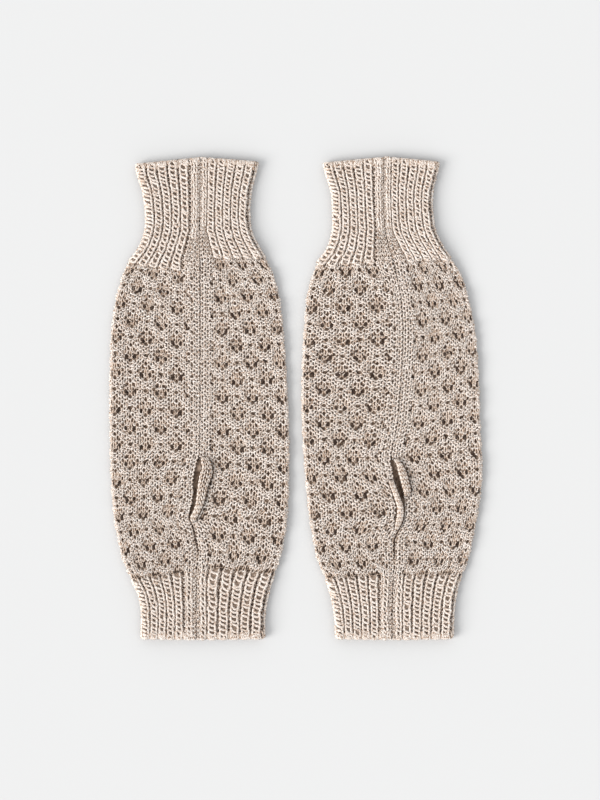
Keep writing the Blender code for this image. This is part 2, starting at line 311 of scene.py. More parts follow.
# Where the yarn would lie this deep its painted shade is darkest. The ribs get a little more painted shade.
DARKEST = 3.0
RIB_SHADE = 0.19
# Points to a loop of these widths, on the side that shows, their share on the underside, and points round.
LOOP_WIDTHS = (0.4, 1, 2.6)
LOOP_POINTS = (6, 10, 14)
BACK_SHARE = 0.7
ROUND = 3
# The share of its strip of the texture's plane that a tube fills.
STRIP_SHARE = 0.98
# The yarn's plies, and the length in which they wind once round it.
PLIES = 3
PLY_PITCH = 1.6

# The shell under the yarn: its depth below the outer face, its thickness, its grid's columns and the
# courses between its rows, and the stitches and courses that it stops short of each edge.
SHELL_DEPTH = 2.0
SHELL_WALL = 0.3
SHELL_COLUMNS = 72
SHELL_STEP = 0.75
SHELL_MARGIN = 0.1

# One flower of the lace: where each hole lies from the flower's lowest dimple, in stitches and courses,
# how far its yarn is pushed aside and how deep it sinks.
Hole = namedtuple("Hole", "stitch course push sink")
FLOWER = (
    Hole(0, -5.4, 1.1, 2.3),
    Hole(0, -3.6, 0.8, 1.5),
    Hole(-0.7, -2.6, 0.9, 1.8),
    Hole(0.7, -2.6, 0.9, 1.8),
    Hole(-1.35, -1.9, 0.6, 1.4),
    Hole(1.35, -1.9, 0.6, 1.4),
    Hole(-0.8, -0.85, 1.1, 1.5),
    Hole(0.8, -0.85, 1.1, 1.5),
    Hole(0, 0.05, 1.0, 2.2),
)
# How far from its middle a hole pushes the yarn and sinks it, and the middle where the push is even.
HOLE_SPREAD = 0.95
HOLE_SIZE = 0.62
HOLE_MIDDLE = 0.15
# A stitch's width and a course's height.
STITCH_MM = 2.8
COURSE_MM = 2.32
# The plain stitches between the seam and the lace's holes, to its right and to its left.
PLAIN_RIGHT = 2
PLAIN_LEFT = 1
# A crease runs between two rows of puffs: how many courses it lies above the dimples, its half width in
# courses, its depth and how many courses it arches over the flowers. It also paints shade on the yarn
# where it is stronger than on average.
CREASE_RISE = 1.1
CREASE_HALF = 0.8
CREASE_DEPTH = 0.45
CREASE_ARCH = 0.7
CREASE_SHADE = 0.1
CREASE_MEAN = 0.35
# How far the courses themselves arch over the flowers, in courses.
FAN_WAVE = 0.35
# The dip where the body joins the cuff at the hand, and half its height in courses.
JOIN_DEPTH = 0.6
JOIN_HALF = 0.6

# Which side of a loop faces out.
KNIT = 1
PURL = -1
# The loops of a course on each side of the seam, in the ribs and in the gore above the body: where
# each ends, in stitches from the seam, and the side that it shows.
Beside = namedtuple("Beside", "ends sides")
RIBBED = Beside(ends=(0.9, 2.3), sides=(PURL, KNIT))
GORED = Beside(ends=(0.8, 1.6, 2.3), sides=(PURL, PURL, PURL))
# What each warmer's lengths are split into: the first course, the last and the loops beside the seam.
# The lace shows the purl side all round.
PIECES = {
    "arm_cuff": {"arm_ribs": (0, 17, RIBBED), "arm_gore": (17, 25, GORED)},
    "lace_body": {"lace_upper": (25, 61, None), "lace_lower": (61, 98, None)},
    "hand_cuff": {"hand_ribs": (98, 113, RIBBED)},
}
SLOTS = {"arm_cuff": "rib_knit", "lace_body": "lace_knit", "hand_cuff": "rib_knit"}

# The camera looks straight down, from this height above the table.
CAMERA_X = 2.16
CAMERA_Y = -1.08
CAMERA_HEIGHT = 1200
CAMERA_LENS = 100
CAMERA_SENSOR = 36
CAMERA_REACH = 10000
FLOOR_SIZE = 6000

# The rolled edges: how far they lie above the body, the stitches over their arch and the points to each,
# how their loops swing, lean and go deep, how thick their yarn is and how strong its painted shade is.
ROLL_LIFT = 0.3
ROLL_STITCHES = 3
ROLL_POINTS = 10
ROLL_SWING = 0.22
ROLL_LEAN = 0.06
ROLL_SWELL = 0.5
ROLL_YARN = 0.85
ROLL_SHADE = 0.82
ROLL_SEED = 50
# Where a roll is this thick its loops have their full size, and its ends keep the least share of it.
ROLL_FULL = 1.8
ROLL_LEAST = 0.6
ROLL_LEAST_HALF = 0.2
ROLL_LEAST_RISE = 0.1
# The bar in a roll: its depth below the arch, how far its foot spreads, the points of its grid along
# it and across it, and the share of the roll's length that it stops short of each end. Its foot, in the
# dark inner colour, shows past the yarn as a painted shadow round the roll.
CORE_DEPTH = 1.0
CORE_FOOT = 1.3
CORE_GRID = (24, 9)
CORE_MARGIN = 0.01

# The bound-off edges, in courses and stitches: how far inside the cloth's edge their middle lies and how
# far they stop short of the seam, how the strands slant, dip at the grooves and spread, how uneven they
# are, and the share of the cloth's relief that they follow.
EDGE_INSET = 0.15
EDGE_MARGIN = 0.15
EDGE_STRANDS = 4
EDGE_POINTS = 8
EDGE_SLANT = 0.1
EDGE_DIP = 0.3
EDGE_SPREAD = 0.75
EDGE_UNEVEN = 0.4
EDGE_SEEDS = (7, 8)
EDGE_RELIEF = 0.4
# Their depth below the cloth's face and how far it changes, how thick their yarn is, and how strongly
# its depth paints shade on it.
EDGE_MIDDLE = 1.1
EDGE_SWELL = 0.45
EDGE_YARN = 1.3
EDGE_SHADE = 0.62

# The seam's line: its depth above the thumb slit and below it, and its width in stitches. It parts at the
# slit's end and closes at the cuff, each over this many courses.
SEAM_DIP = 0.3
SEAM_DEEP = 1.9
SEAM_WIDTH = 0.3
SLIT_END_COURSE = 86
PARTING_COURSES = 2
CLOSING_COURSES = 6

# The seam's thread: points to a stitch, how far it swings to each side, how deep it lies and dives, how
# thick it is and its least painted shade, which grows to darkest where the seam parts. It runs between
# these heights, above the thumb slit and below it.
SEWING_POINTS = 6
SEWING_REACH = 0.6
SEWING_DEPTH = 1.6
SEWING_DIVE = 0.2
SEWING_YARN = 0.8
SEWING_SHADE = 0.5
SEWN = {"left": ((129, -31), (-67.5, -129)), "right": ((129, -32.5), (-60, -129))}

# Each length's cut, laid flat: its most all round the tube, its most along it and its area.
Flat = namedtuple("Flat", "width length area")

# Wool's gloss and the faint sheen of its fibres.
YARN_ROUGHNESS = 0.9
YARN_SHEEN = 0.12
SHEEN_ROUGHNESS = 0.6
SPECULAR = 0.12

# Each grain's scale and detail, and each scale of tones as pairs of a place on it and a linear colour.
FLECK_GRAIN = (1200, 2)
FLECKS = (
    (0.38, (0.46, 0.315, 0.22)),
    (0.46, (0.86, 0.765, 0.695)),
    (0.58, (0.90, 0.84, 0.79)),
)
TONE_GRAIN = (220, 1)
TONES = ((0.3, (0.90, 0.88, 0.86)), (0.7, (1.0, 1.0, 1.0)))
# Painted shade: how much darker the yarn is coloured the deeper it lies in the cloth.
CREVICE_SHADE = (
    (0.30, (1.0, 1.0, 1.0)),
    (0.52, (0.95, 0.935, 0.92)),
    (0.74, (0.83, 0.735, 0.65)),
    (0.86, (0.07, 0.043, 0.03)),
)
FIBRE_GRAIN = (6000, 2)
PLY_RIDGE = 0.5
PLY_BUMP = 0.12
INNER_GRAIN = (600, 2)
INNER_BUMP = 0.4
# The inner side's colours are painted shade: dark where it shows between the lace's loops and lighter in
# the ribs' gaps. LIT_INNER is painted light under the lace's puffs.
LACE_INNER_SHADE = ((0.35, (0.05, 0.03, 0.02)), (0.65, (0.15, 0.10, 0.07)))
RIB_INNER_SHADE = ((0.35, (0.24, 0.17, 0.125)), (0.65, (0.58, 0.45, 0.36)))
LIT_INNER = ((0.35, (0.30, 0.215, 0.16)), (0.65, (0.56, 0.44, 0.35)))
# How much painted light the inner side takes beside the seam, as a share of the way to its most.
BAND_LIT = 0.6

FLOOR_GRAIN = (3, 2)
FLOOR_STOPS = (0.3, 0.7)
FLOOR_SHADE = 0.995
FLOOR_ROUGHNESS = 0.9
FLOOR_COLOUR = (0.548, 0.548, 0.548)
DOME_COLOUR = (0.975, 0.988, 1.0)
DOME_STRENGTH = 1.05
# The key light's spread and turn are in degrees.
KEY_COLOUR = (1.0, 0.985, 0.965)
KEY_STRENGTH = 3.15
KEY_SPREAD = 35
KEY_TURN = (16, -53, 0)
# The colour mixer's own places for its two colours and its result, after those for plain numbers.
MIX_FIRST = 6
MIX_SECOND = 7
MIX_RESULT = 2


def column(table, field):
    """One column of a table, as numbers."""
    return np.array([getattr(row, field) for row in table], float)


def smooth(knots, values, at):
    """A smooth curve through the values at the knots, read at the places given."""
    slopes = np.gradient(values, knots)
    i = np.clip(np.searchsorted(knots, at) - 1, 0, len(knots) - 2)
    step = knots[i + 1] - knots[i]
    t = np.clip((at - knots[i]) / step, 0, 1)
    start = (1 + 2 * t) * (1 - t) ** 2 * values[i] + t * (1 - t) ** 2 * step * slopes[i]
    end = t**2 * (3 - 2 * t) * values[i + 1] + t**2 * (t - 1) * step * slopes[i + 1]
    return start + end


def curve(table, field, at):
    """A smooth curve through one column of a table, whose first column says where its rows lie."""
    return smooth(column(table, table[0]._fields[0]), column(table, field), at)


def height_of(warmer, share, course):
    """The height of these courses, sloping evenly along the front's right half, back and left half."""
    left_fold, seam_left, seam_right, right_fold = (
        curve(warmer.courses, field, course) for field in Course._fields[1:]
    )
    right = seam_right + share * (right_fold - seam_right)
    back = right_fold + (share - 1) * (left_fold - right_fold)
    left = left_fold + (share - 2) * (seam_left - left_fold)
    return np.select([share <= 1, share <= 2], [right, back], left)


def fold_turn(warmer, stitch):
    """How far the cloth has turned over: nothing on the front, half a turn on the back."""
    right = np.clip((stitch - FRONT_STITCHES) / FOLD_STITCHES, 0, 1)
    left = np.clip((warmer.stitches - FRONT_STITCHES - stitch) / FOLD_STITCHES, 0, 1)
    return np.pi * np.minimum(right, left)


def front_x(warmer, stitch, y, side, fold_x):
    """How far right the front's stitches lie: the plain band at the seam, then evenly to the fold."""
    half_gap = np.interp(y, column(warmer.seam, "y"), column(warmer.seam, "gap")) / 2
    band = np.interp(y, column(BAND, "y"), column(BAND, "half_width"))
    away = from_seam(warmer, stitch)
    across_band = np.minimum(away, BAND_STITCHES) / BAND_STITCHES
    beyond = np.clip((away - BAND_STITCHES) / (FRONT_STITCHES - BAND_STITCHES), 0, 1)
    edge_x = curve(warmer.seam, "x", y) + side * half_gap
    return edge_x + side * band * across_band + beyond * (fold_x - edge_x - side * band)


def cloth_height(course):
    """Both layers' height: the ribs' at the cuffs, the lace's on the body, and between them at a join."""
    first, last = COURSES["lace_body"]
    inside = np.minimum(course - first, last - course) / BLEND_COURSES
    share = np.clip(0.5 + inside / 2, 0, 1)
    return RIB_HEIGHT + share * (LACE_HEIGHT - RIB_HEIGHT)


def place(warmer, stitch, course, depth):
    """The points at these stitches and courses, each its depth below the cloth's outer face."""
    right_fold = (FRONT_STITCHES, FRONT_STITCHES + FOLD_STITCHES)
    left_fold = [warmer.stitches - corner for corner in reversed(right_fold)]
    corners = (0, *right_fold, *left_fold, warmer.stitches)
    share = np.interp(stitch, corners, (0, 1, 1, 2, 2, 3))
    y = height_of(warmer, share, course)
    turn = fold_turn(warmer, stitch)

    radius = cloth_height(course) / 2
    reach = radius - depth
    side = np.where(2 * stitch < warmer.stitches, 1, -1)
    centre = curve(warmer.outline, "centre", y)
    fold_reach = curve(warmer.outline, "half_width", y) - radius
    back_x = centre + (3 - 2 * share) * fold_reach + side * reach * np.sin(turn)
    x = np.where(turn > 0, back_x, front_x(warmer, stitch, y, side, centre + side * fold_reach))
    return np.stack([x, y, radius + reach * np.cos(turn)], axis=-1)


def ease(share):
    """A smooth rise from 0 to 1."""
    share = np.clip(share, 0, 1)
    return share * share * (3 - 2 * share)


def ridge(distance, half_width):
    """A smooth ridge: 1 in its middle and nearly 0 two half widths from it."""
    return np.exp(-((distance / half_width) ** 2))


def wrap(distance, period):
    """The distance to the nearest of the places that lie a period apart."""
    return np.mod(distance + period / 2, period) - period / 2


def from_seam(warmer, stitch):
    """Stitches to the seam, the shorter way round."""
    return np.minimum(stitch, warmer.stitches - stitch)


def rib_share(course):
    """How much of the ribs shows at these courses: all on the cuffs and none on the body."""
    first, last = COURSES["lace_body"]
    return 1 - ease(0.5 + np.minimum(course - first, last - course) / 2)


def purl_distance(stitch):
    """Stitches to the middle of the nearest purl column."""
    return wrap(stitch - FIRST_GROOVE, RIB_STITCHES)


def loop_edges(warmer, beside):
    """Where each loop of a course begins and the last one ends, and the side that it shows."""
    if beside is None:
        return np.arange(warmer.stitches + 1.0), np.full(warmer.stitches, PURL)
    grooves = np.arange(FIRST_GROOVE, warmer.stitches - 1, RIB_STITCHES)
    turns = np.stack([grooves - GROOVE_HALF, grooves + GROOVE_HALF], axis=-1).ravel()[1:-1]
    first = np.array([0, *beside.ends])
    last = warmer.stitches - first[::-1]
    sides = np.resize([PURL, KNIT], len(turns) + 1)
    faces = np.concatenate([beside.sides, sides, beside.sides[::-1]])
    return np.concatenate([first, turns, last]), faces


def walk(warmer, edges):
    """The yarn's points along a course: the loop each is on, and how far along it."""
    widths = np.diff(edges)
    shown = from_seam(warmer, edges[:-1] + widths / 2) < FRONT_STITCHES + FOLD_STITCHES
    counts = np.interp(widths, LOOP_WIDTHS, LOOP_POINTS) * np.where(shown, 1, BACK_SHARE)
    counts = np.round(counts).astype(int)
    number = np.repeat(np.arange(len(widths)), counts)
    along = np.concatenate([np.arange(count) / count for count in counts])
    return np.append(number, len(widths) - 1), np.append(along, 1.0)


def open_holes(warmer, stitch, course):
    """How far the lace's holes push the yarn aside, in stitches and courses, and how deep it sinks."""
    to_right, to_left = stitch - PLAIN_RIGHT, warmer.stitches - stitch - PLAIN_LEFT
    off_seam = np.where(2 * stitch < warmer.stitches, to_right, to_left)
    strength = ease(off_seam * 2 + 1) * (1 - rib_share(course))
    across, along, sunk = (np.zeros_like(stitch) for _ in range(3))
    for repeats in (0, 0.5):
        first_stitch = warmer.first_flower + repeats * REPEAT_STITCHES
        first_course = FIRST_DIMPLE + repeats * REPEAT_COURSES
        for hole in FLOWER:
            s = wrap(stitch - first_stitch - hole.stitch, REPEAT_STITCHES)
            c = wrap(course - first_course - hole.course, REPEAT_COURSES)
            far = np.hypot(s * STITCH_MM, c * COURSE_MM)
            near = ridge(far, HOLE_SPREAD) / np.maximum(far, HOLE_MIDDLE)
            across += strength * hole.push * near * s
            along += strength * hole.push * near * c
            sunk += strength * hole.sink * ridge(far, HOLE_SIZE)
    return across, along, sunk


def lattice(warmer, stitch, course, first_course):
    """The lace's repeat: 1 at the first course and flower, and -1 half a repeat on in either direction."""
    across = np.cos(2 * np.pi * (stitch - warmer.first_flower) / REPEAT_STITCHES)
    return across * np.cos(2 * np.pi * (course - first_course) / REPEAT_COURSES)


def crease(warmer, stitch, course):
    """The lines along the courses where one row of puffs ends and the next begins."""
    arched = course - CREASE_ARCH * lattice(warmer, stitch, course, FIRST_DIMPLE)
    return ridge(wrap(arched - FIRST_DIMPLE + CREASE_RISE, REPEAT_COURSES / 2), CREASE_HALF)


def fans(warmer, stitch, course):
    """How far the lace's courses arch over its flowers: 1 at a flower's lowest dimple."""
    off_seam = np.clip(from_seam(warmer, stitch) / BAND_STITCHES - 1, 0, 1)
    return off_seam * (1 - rib_share(course)) * lattice(warmer, stitch, course, FIRST_DIMPLE)


def seam_parting(course):
    """How far the seam's two edges part below the thumb slit, where a sunk seam and painted shade on its
    thread make a dark line.
    """
    parting = ease((course - SLIT_END_COURSE) / PARTING_COURSES)
    return parting * ease((COURSES["lace_body"][1] - course) / CLOSING_COURSES)


def sink_of(warmer, stitch, course):
    """How far the cloth's face lies below its highest: the ribs' grooves, the lace's puffs and creases."""
    away = from_seam(warmer, stitch)
    rib = GROOVE_DEPTH * ease((GROOVE_REACH - np.abs(purl_distance(stitch))) / GROOVE_REACH)
    hollow = (0.5 - 0.5 * lattice(warmer, stitch, course, FIRST_PUFF_COURSE)) ** LACE_SHARPNESS
    lace = LACE_DEPTH * hollow + CREASE_DEPTH * crease(warmer, stitch, course)
    ribbed = rib_share(course)
    off_band = np.clip(2 * (away - BAND_STITCHES), 0, 1)
    shown = np.clip(2 - 2 * fold_turn(warmer, stitch) / np.pi, BACK_RELIEF, 1)
    dip = SEAM_DIP + seam_parting(course) * (SEAM_DEEP - SEAM_DIP)
    seam = dip * ridge(away, SEAM_WIDTH)
    join = JOIN_DEPTH * ridge(course - COURSES["hand_cuff"][0], JOIN_HALF)
    return seam + off_band * shown * (ribbed * rib + (1 - ribbed) * lace + join)


def uneven(rows, stitches, size, seed):
    """A small random amount for each stitch of each course, the same on every run."""
    return np.random.default_rng(seed).normal(0, size, (rows, stitches))


def thickness(warmer, stitch, course, width):
    """The yarn's radius along a course: thinner where its loops are crowded."""
    ends = [place(warmer, stitch + half, course, YARN / 2) for half in (-0.5, 0.5)]
    loop = width * np.linalg.norm(ends[1] - ends[0], axis=-1)
    share = np.clip(CROWDED + (1 - CROWDED) * loop / WIDE_LOOP, THINNEST, THICKEST)
    near = np.pad(share, ((0, 0), (EVENED_POINTS // 2, EVENED_POINTS // 2)), mode="edge")
    evened = sum(near[:, i:i + share.shape[1]] for i in range(EVENED_POINTS))
    return YARN / 2 * evened / EVENED_POINTS


def yarn_lines(warmer, first, last, beside):
    """The yarn of these courses: rows of points, the way outwards, its radius and its shade."""
    edges, faces = loop_edges(warmer, beside)
    number, loop = walk(warmer, edges)
    width, face = np.diff(edges)[number], faces[number]
    swing, apart, slant, swell, thick = (
        np.where(face == KNIT, knit, purl) for knit, purl in zip(KNIT_LOOP, PURL_LOOP)
    )
    row = np.arange(last - first)[:, None]
    course = first + row + 0.5
    within = np.sin(np.pi * loop) ** 2
    first_seed = SEED_STEP * warmer.stitches + first
    lean, stretch, lift = (
        uneven(last - first, len(faces), size, first_seed + i)[row, number] * within
        for i, size in enumerate((LEAN, STRETCH, LIFT))
    )

    swung = loop + swing * np.sin(4 * np.pi * loop) - apart * np.sin(2 * np.pi * loop)
    at_stitch = edges[number] + width * swung + lean
    at_course = course - REACH * (1 + stretch) * np.cos(2 * np.pi * loop)
    at_course = at_course + slant * within * np.tanh(SLANT_SHARPNESS * np.sin(4 * np.pi * loop))
    at_course = at_course + FAN_WAVE * fans(warmer, at_stitch, at_course)
    across, along, sunk = open_holes(warmer, at_stitch, at_course)
    sunk = sunk + sink_of(warmer, at_stitch, at_course) + lift
    at_stitch = np.clip(at_stitch + across, SEAM_MARGIN, warmer.stitches - SEAM_MARGIN)
    at_course = at_course + along
    depth = YARN / 2 + sunk + swell * (1 + face * np.cos(4 * np.pi * loop))
    # Painted shade: the yarn's colour darkens with its depth, a little more on the ribs and along the
    # lace's creases.
    ribbed = rib_share(at_course)
    creased = (1 - ribbed) * (crease(warmer, at_stitch, at_course) - CREASE_MEAN)
    deep = depth / DARKEST + RIB_SHADE * ribbed + CREASE_SHADE * creased
    radius = thickness(warmer, at_stitch, at_course, width) * (1 + thick * within)
    depth = np.clip(depth, radius, DEEPEST)
    points = place(warmer, at_stitch, at_course, depth)
    outwards = place(warmer, at_stitch, at_course, depth - OUTWARD_STEP) - points
    return points, outwards, radius, deep


def unit(vectors):
    """The vectors at a length of 1."""
    return vectors / np.maximum(np.linalg.norm(vectors, axis=-1, keepdims=True), 1e-9)


def store(mesh, name, domain, values):
    """Keeps a number for each point or corner of the mesh, for its material to read."""
    mesh.attributes.new(name, "FLOAT", domain).data.foreach_set("value", values.ravel())


def tube_mesh(name, points, outwards, radius, deep):
    """One mesh of closed tubes along rows of points, with a first corner that faces outwards.

    It stores how far the plies have wound and how much the yarn's depth in the cloth shades it: 0 is
    light and 1 is darkest. Its triangles lie in strips of the texture's plane, a row to a strip.
    """
    rows, count, _ = points.shape
    along = unit(np.gradient(points, axis=1))
    side = unit(np.cross(along, outwards))
    up = np.cross(side, along)
    turn = 2 * np.pi * np.arange(ROUND) / ROUND
    ring = np.cos(turn)[:, None] * up[:, :, None] + np.sin(turn)[:, None] * side[:, :, None]
    corners = points[:, :, None] + radius[:, :, None, None] * ring
    index = np.arange(rows * count * ROUND).reshape(rows, count, ROUND)
    here, there = index[:, :-1], index[:, 1:]
    next_here, next_there = np.roll(here, -1, axis=2), np.roll(there, -1, axis=2)
    sides = np.stack([
        np.stack([here, there, next_there], axis=-1),
        np.stack([here, next_there, next_here], axis=-1),
    ], axis=-2).reshape(-1, 3)
    u = np.arange(count) / (count - 1)
    v = (np.arange(rows)[:, None] + np.arange(ROUND + 1) / ROUND * STRIP_SHARE) / rows
    u0, u1 = (np.broadcast_to(x[None, :, None], here.shape) for x in (u[:-1], u[1:]))
    v0, v1 = (np.broadcast_to(x[:, None, :], here.shape) for x in (v[:, :-1], v[:, 1:]))
    near_low, far_low, far_high, near_high = (
        np.stack(pair, axis=-1) for pair in ((u0, v0), (u1, v0), (u1, v1), (u0, v1))
    )
    uv = np.stack([
        np.stack([near_low, far_low, far_high], axis=-2),
        np.stack([near_low, far_high, near_high], axis=-2),
    ], axis=-3).reshape(-1, 3, 2)
    caps = np.concatenate([index[:, 0, ::-1], index[:, -1]])
    faces = np.concatenate([sides, caps])
    uv = np.concatenate([uv, np.zeros((len(caps), 3, 2))])
    mesh = triangles(name, corners.reshape(-1, 3) * MM, faces, uv)
    length = np.linalg.norm(np.diff(points, axis=1), axis=-1).sum(axis=1).mean()
    store(mesh, "ply", "CORNER", uv[..., 0] * length / PLY_PITCH + uv[..., 1] * rows * PLIES)
    store(mesh, "deep", "POINT", np.repeat(deep, ROUND))
    return mesh


def triangles(name, points, faces, uv=None):
    """A mesh of these triangles, with their corners' places on the texture's plane if they have any."""
    mesh = bpy.data.meshes.new(name)
    mesh.vertices.add(len(points))
    mesh.vertices.foreach_set("co", points.ravel())
    mesh.loops.add(faces.size)
    mesh.loops.foreach_set("vertex_index", faces.ravel().astype(np.int32))
    mesh.polygons.add(len(faces))
    mesh.polygons.foreach_set("loop_start", np.arange(0, faces.size, 3, dtype=np.int32))
    if uv is not None:
        layer = mesh.uv_layers.new(name="OFBake")
        layer.uv.foreach_set("vector", uv.ravel())
    mesh.update(calc_edges=True)
    mesh.validate()
    mesh.shade_smooth()
    return mesh


def add_piece(name, mesh, material, warmer):
    """An object of this mesh and material, on its warmer's own axis."""
    obj = bpy.data.objects.new(name, mesh)
    obj.location = (warmer.axis_x * MM, 0, 0)
    mesh.materials.append(material)
    bpy.context.scene.collection.objects.link(obj)
    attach(obj, "root")
    return obj


def shell_of(warmer, part, material):
    """The thin sheet under the yarn of one length: an outer and an inner face, closed at its edges."""
    first, last = COURSES[part]
    count = round((last - first) / SHELL_STEP) + 1
    rows = np.linspace(first + SHELL_MARGIN, last - SHELL_MARGIN, count)
    columns = np.linspace(SHELL_MARGIN, warmer.stitches - SHELL_MARGIN, SHELL_COLUMNS + 1)
    course, stitch = np.meshgrid(rows, columns, indexing="ij")
    skins = [
        place(warmer, stitch, course, np.full_like(stitch, depth))
        for depth in (SHELL_DEPTH, SHELL_DEPTH + SHELL_WALL)
    ]
    name = f"{warmer.name}_{part}_shell"
    mesh = closed_sheet(name, *skins)
    # Painted light on the inner side under the lace's puffs, broken by the creases, even beside the seam
    # and none on the ribs.
    puffs = (0.5 + 0.5 * lattice(warmer, stitch, course, FIRST_LIT_COURSE)) ** LIT_SHARPNESS
    puffs = puffs * (1 - crease(warmer, stitch, course))
    lit = np.where(from_seam(warmer, stitch) < BAND_STITCHES, BAND_LIT, puffs) * (1 - rib_share(course))
    store(mesh, "lit", "POINT", np.tile(lit.ravel(), len(skins)))
    return add_piece(name, mesh, material, warmer)


def closed_sheet(name, outer_points, inner_points):
    """A mesh of two faces over the same grid, joined along its four edges."""
    points = np.concatenate([outer_points.reshape(-1, 3), inner_points.reshape(-1, 3)])
    outer, inner = np.arange(len(points)).reshape(2, *outer_points.shape[:2])
    quads = [grid_quads(outer), grid_quads(inner)[:, ::-1]]
    rims = (
        (inner[0], outer[0]),
        (outer[-1], inner[-1]),
        (outer[:, 0], inner[:, 0]),
        (inner[:, -1], outer[:, -1]),
    )
    for a, b in rims:
        quads.append(np.stack([a[:-1], a[1:], b[1:], b[:-1]], axis=-1))
    quads = np.concatenate(quads)
    faces = np.concatenate([quads[:, [0, 1, 2]], quads[:, [0, 2, 3]]])
    return triangles(name, points * MM, faces)


def grid_quads(grid):
    """The grid's cells, each as its four corners in turn."""
    return np.stack([grid[:-1, :-1], grid[:-1, 1:], grid[1:, 1:], grid[1:, :-1]], axis=-1).reshape(-1, 4)


def roll_point(rows, across, along, depth):
    """Points on a rolled edge's arch, across from its left and along from its upper end, and its size."""
    knots = column(rows, "y")
    y = knots[0] + along * (knots[-1] - knots[0])
    left, right, thick = (smooth(-knots, column(rows, field), -y) for field in ("left", "right", "thick"))
    turn = np.pi * (1 - across)
    half = np.maximum((right - left) / 2 - depth, ROLL_LEAST_HALF)
    rise = np.maximum(thick - depth, ROLL_LEAST_RISE)
    foot = LACE_HEIGHT + ROLL_LIFT
    points = [(left + right) / 2 + half * np.cos(turn), y, foot + rise * np.sin(turn)]
    return np.stack(points, axis=-1), np.clip(thick / ROLL_FULL, ROLL_LEAST, 1)


def roll_lines(rows, seed):
    """The yarn over a rolled edge, a course at a time."""
    knots = column(rows, "y")
    count = round((knots[0] - knots[-1]) / COURSE_MM)
    u = np.arange(ROLL_STITCHES * ROLL_POINTS + 1) / ROLL_POINTS
    course, stitch = np.meshgrid(np.arange(count) + 0.5, u, indexing="ij")
    number = np.clip(np.floor(stitch), 0, ROLL_STITCHES - 1).astype(int)
    loop = stitch - number
    lean = uneven(count, ROLL_STITCHES, ROLL_LEAN, seed)[course.astype(int), number]
    at_stitch = stitch + ROLL_SWING * np.sin(4 * np.pi * loop) + lean * np.sin(np.pi * loop) ** 2
    at_course = np.clip(course - REACH * np.cos(2 * np.pi * loop), 0, count)
    across, along = np.clip(at_stitch / ROLL_STITCHES, 0, 1), at_course / count
    _, size = roll_point(rows, across, along, 0)
    depth = size * (YARN / 2 + ROLL_SWELL * (1 + np.cos(4 * np.pi * loop)))
    points, _ = roll_point(rows, across, along, depth)
    above, _ = roll_point(rows, across, along, depth - OUTWARD_STEP)
    # The last value is painted shade, darker the deeper the yarn lies.
    return points, above - points, size * ROLL_YARN / 2, ROLL_SHADE * depth / size


def roll_core(name, rows, material, warmer):
    """The rolled edge's own bar, just inside its yarn, whose dark foot is a painted shadow round the roll.
    """
    lengthwise = np.linspace(CORE_MARGIN, 1 - CORE_MARGIN, CORE_GRID[0])
    along, across = np.meshgrid(lengthwise, np.linspace(0, 1, CORE_GRID[1]), indexing="ij")
    _, size = roll_point(rows, across, along, 0)
    top, _ = roll_point(rows, across, along, size * CORE_DEPTH)
    bottom = top.copy()
    # The foot spreads past the yarn as a painted shadow.
    bottom[..., 0] += CORE_FOOT * size * np.cos(np.pi * (1 - across))
    bottom[..., 2] = LACE_HEIGHT + ROLL_LIFT / 2
    return add_piece(name, closed_sheet(name, top, bottom), material, warmer)


def edge_lines(warmer, at_course, outward):
    """Strands wound round each other along a bound-off edge, a turn for every two stitches."""
    u = np.linspace(EDGE_MARGIN, warmer.stitches - EDGE_MARGIN, warmer.stitches * EDGE_POINTS)
    turn = np.pi * u + 2 * np.pi * np.arange(EDGE_STRANDS)[:, None] / EDGE_STRANDS
    number = np.floor(u).astype(int)
    shift, spread = (uneven(1, warmer.stitches + 1, EDGE_UNEVEN, seed)[0] for seed in EDGE_SEEDS)
    stitch = np.broadcast_to(u, turn.shape) + EDGE_SLANT * np.sin(2 * turn)
    dip = EDGE_DIP * np.cos(2 * np.pi * purl_distance(stitch) / RIB_STITCHES)
    wave = np.interp(u, np.arange(warmer.stitches + 1), shift)
    course = at_course + outward * (wave - dip) + EDGE_SPREAD * (1 + spread[number]) * np.cos(turn)
    sunk = EDGE_RELIEF * sink_of(warmer, stitch, np.full_like(stitch, at_course))
    depth = EDGE_MIDDLE + sunk + EDGE_SWELL * np.sin(turn)
    points = place(warmer, stitch, course, depth)
    outwards = place(warmer, stitch, course, depth - OUTWARD_STEP) - points
    # The last value is painted shade, darker the deeper the strands lie.
    return points, outwards, np.full(turn.shape, EDGE_YARN / 2), EDGE_SHADE * depth


def course_at(warmer, y):
    """The course that crosses the seam at this height."""
    numbers = np.arange(COURSES["hand_cuff"][1] + 1)
    left, right = (curve(warmer.courses, field, numbers) for field in ("seam_left", "seam_right"))
    return np.interp(-y, -(left + right) / 2, numbers)


def sewing_lines(warmer, top, bottom):
    """The thread that draws the two edges together, from side to side down the seam."""
    count = round((top - bottom) / COURSE_MM) * SEWING_POINTS
    y = np.linspace(top, bottom, count)
    swing = np.sin(np.pi * np.arange(count) / SEWING_POINTS)
    x = curve(warmer.seam, "x", y) + SEWING_REACH * swing
    z = cloth_height(course_at(warmer, y)) - SEWING_DEPTH - SEWING_DIVE * np.abs(swing)
    points = np.stack([x, y, z], axis=-1)[None]
    # Painted shade on the thread, darkest where the seam's two edges part.
    deep = SEWING_SHADE + (1 - SEWING_SHADE) * seam_parting(course_at(warmer, y))[None]
    up = np.broadcast_to([0.0, 0.0, 1.0], points.shape)
    return points, up, np.full(deep.shape, SEWING_YARN / 2), deep


def add_yarn(name, lines, material, warmer):
    """A piece of yarn along these lines, in this material."""
    obj = add_piece(name, tube_mesh(name, *lines), material, warmer)
    return obj


